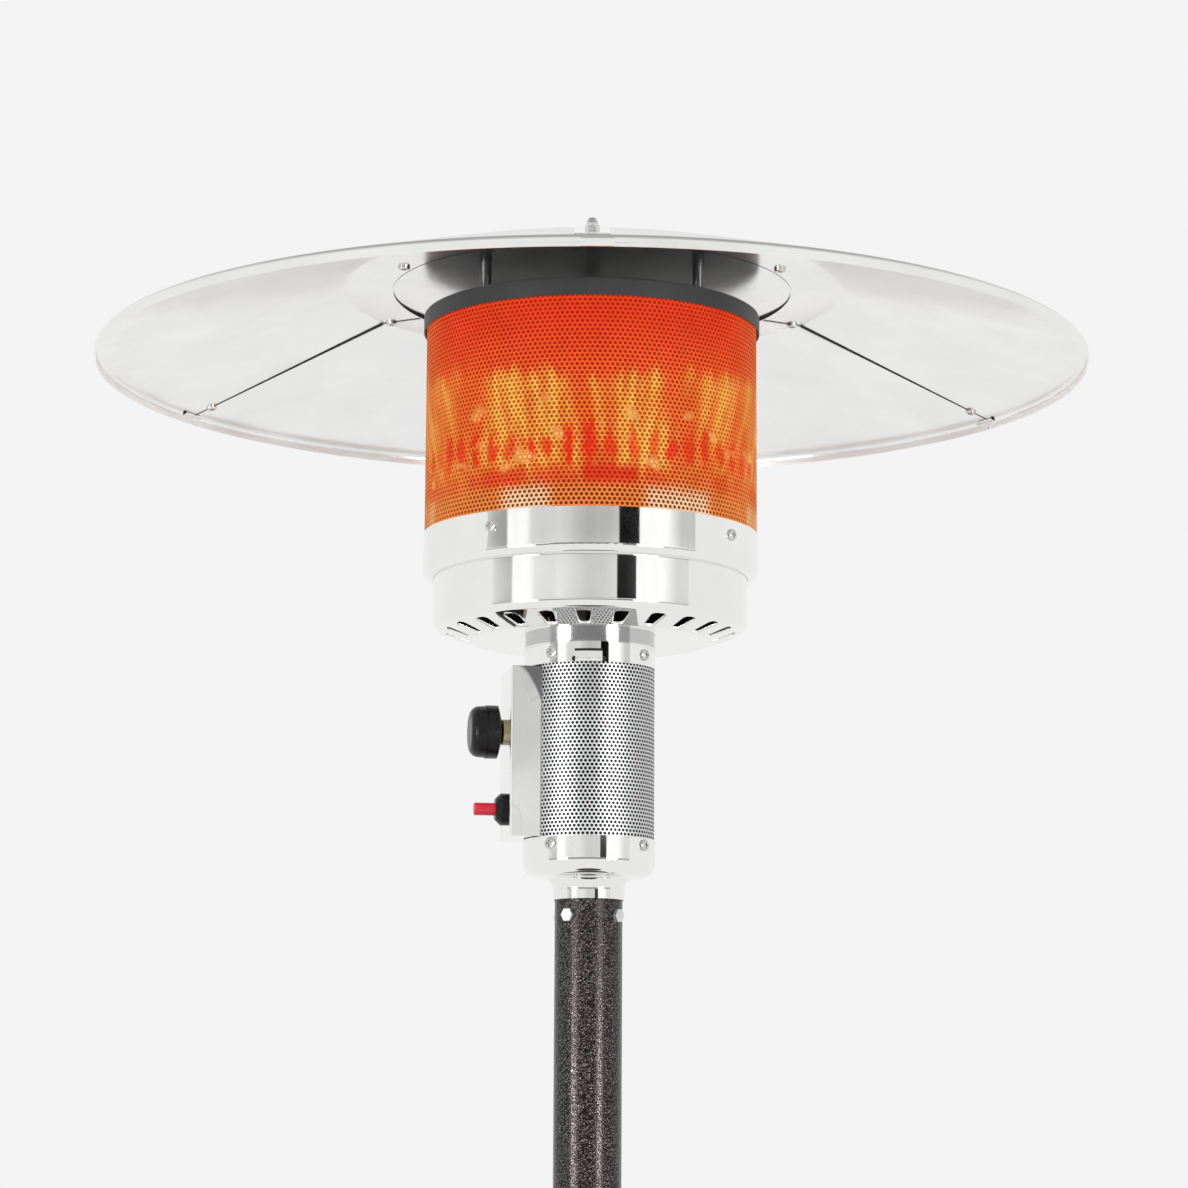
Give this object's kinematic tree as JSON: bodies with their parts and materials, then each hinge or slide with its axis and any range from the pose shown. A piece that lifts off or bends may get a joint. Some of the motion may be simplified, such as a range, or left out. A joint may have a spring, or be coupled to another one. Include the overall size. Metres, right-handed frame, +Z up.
{
  "type": "gas patio heater",
  "caption": "Freestanding gas patio heater: round reflector over a perforated glowing emitter, control box with knob and igniter, slim post, tank housing and wheeled base.",
  "frame": {"origin": "centre of the base on the floor", "axes": "+Z up along the post, -X the way the control box faces"},
  "size_m": [0.8144, 0.8143, 2.2088],
  "materials": {
    "polished_steel": "mirror polished stainless sheet",
    "perforated_steel": "polished perforated stainless sheet",
    "glowing_screen": "perforated screen, glowing orange",
    "cap_paint": "dark grey heat resistant coating",
    "burner_steel": "heat tinted steel",
    "screw_steel": "bright steel",
    "bolt_steel": "zinc plated",
    "zinc_steel": "zinc plated",
    "hammered_paint": "hammered dark bronze enamel",
    "black_plastic": "moulded",
    "red_plastic": "moulded",
    "brass": "turned",
    "aluminium_tube": "drawn tube",
    "copper_lead": "copper line",
    "lead_sheath": "silicone sleeve",
    "ceramic": "white ceramic, stood in for by plastic",
    "wheel_rubber": "moulded wheel",
    "foot_rubber": "moulded foot"
  },
  "bodies": {
    "stand": {"base_feet": "foot_rubber", "base_pan": "hammered_paint", "burner_bowl": "polished_steel", "burner_head": "burner_steel", "collar_band": "polished_steel", "collar_screws": "screw_steel", "control_box": "polished_steel", "control_screen": "perforated_steel", "cup_screws": "screw_steel", "electrode": "ceramic", "emitter_cap": "cap_paint", "emitter_screen": "glowing_screen", "gas_pipe": "aluminium_tube", "igniter_body": "black_plastic", "igniter_nut": "black_plastic", "igniter_spring": "screw_steel", "ignition_lead": "lead_sheath", "injector": "brass", "inlet_fitting": "brass", "leg_bolts": "zinc_steel", "main_gas_tube": "aluminium_tube", "neck_flange": "polished_steel", "neck_ring": "polished_steel", "neck_screws": "screw_steel", "pilot_burner": "burner_steel", "pilot_tube": "aluminium_tube", "post": "hammered_paint", "post_bolts": "bolt_steel", "post_cup": "polished_steel", "post_plug": "black_plastic", "reflector_centre": "polished_steel", "reflector_petal_1": "polished_steel", "reflector_petal_2": "polished_steel", "reflector_petal_3": "polished_steel", "reflector_screws": "screw_steel", "reflector_struts": "zinc_steel", "socket_tube": "zinc_steel", "strut_nuts": "zinc_steel", "support_leg_1": "zinc_steel", "support_leg_2": "zinc_steel", "support_leg_3": "zinc_steel", "thermocouple": "copper_lead", "tilt_switch": "black_plastic", "valve_body": "brass", "valve_nut": "brass", "wheel_axle": "zinc_steel", "wheel_bracket": "hammered_paint", "wheel_bracket_bolts": "zinc_steel"},
    "tank_cover": {"housing_shell": "hammered_paint", "housing_lid": "hammered_paint", "housing_screws": "screw_steel", "housing_bushing": "black_plastic"},
    "valve_rotor": {"valve_plug": "brass"},
    "knob": {"valve_spindle": "brass", "knob_skirt": "black_plastic", "knob_cap": "black_plastic"},
    "igniter": {"igniter_button": "red_plastic"},
    "left_wheel": {"wheel_left": "wheel_rubber"},
    "right_wheel": {"wheel_right": "wheel_rubber"}
  },
  "joints": [
    {"name": "tank_cover_lift", "type": "slide", "parent": "stand", "child": "tank_cover", "axis": [0, 0, 1], "range_m": [0, 0.6]},
    {"name": "knob_turn", "type": "hinge", "parent": "stand", "child": "valve_rotor", "pos_m": [-0.05, 0, 1.827], "axis": [-1, 0, 0], "range_deg": [0, 180]},
    {"name": "knob_push", "type": "slide", "parent": "valve_rotor", "child": "knob", "axis": [1, 0, 0], "range_m": [0, 0.003], "stiffness_N_per_m": 2500, "springref_m": -0.001},
    {"name": "igniter_push", "type": "slide", "parent": "stand", "child": "igniter", "axis": [1, 0, 0], "range_m": [0, 0.005], "stiffness_N_per_m": 1200, "springref_m": -0.001, "deforming": ["igniter_spring"]},
    {"name": "left_wheel_spin", "type": "hinge", "parent": "stand", "child": "left_wheel", "pos_m": [0.27, 0.05, 0.041], "axis": [0, 1, 0], "continuous": true},
    {"name": "right_wheel_spin", "type": "hinge", "parent": "stand", "child": "right_wheel", "pos_m": [0.27, -0.05, 0.041], "axis": [0, 1, 0], "continuous": true}
  ]
}
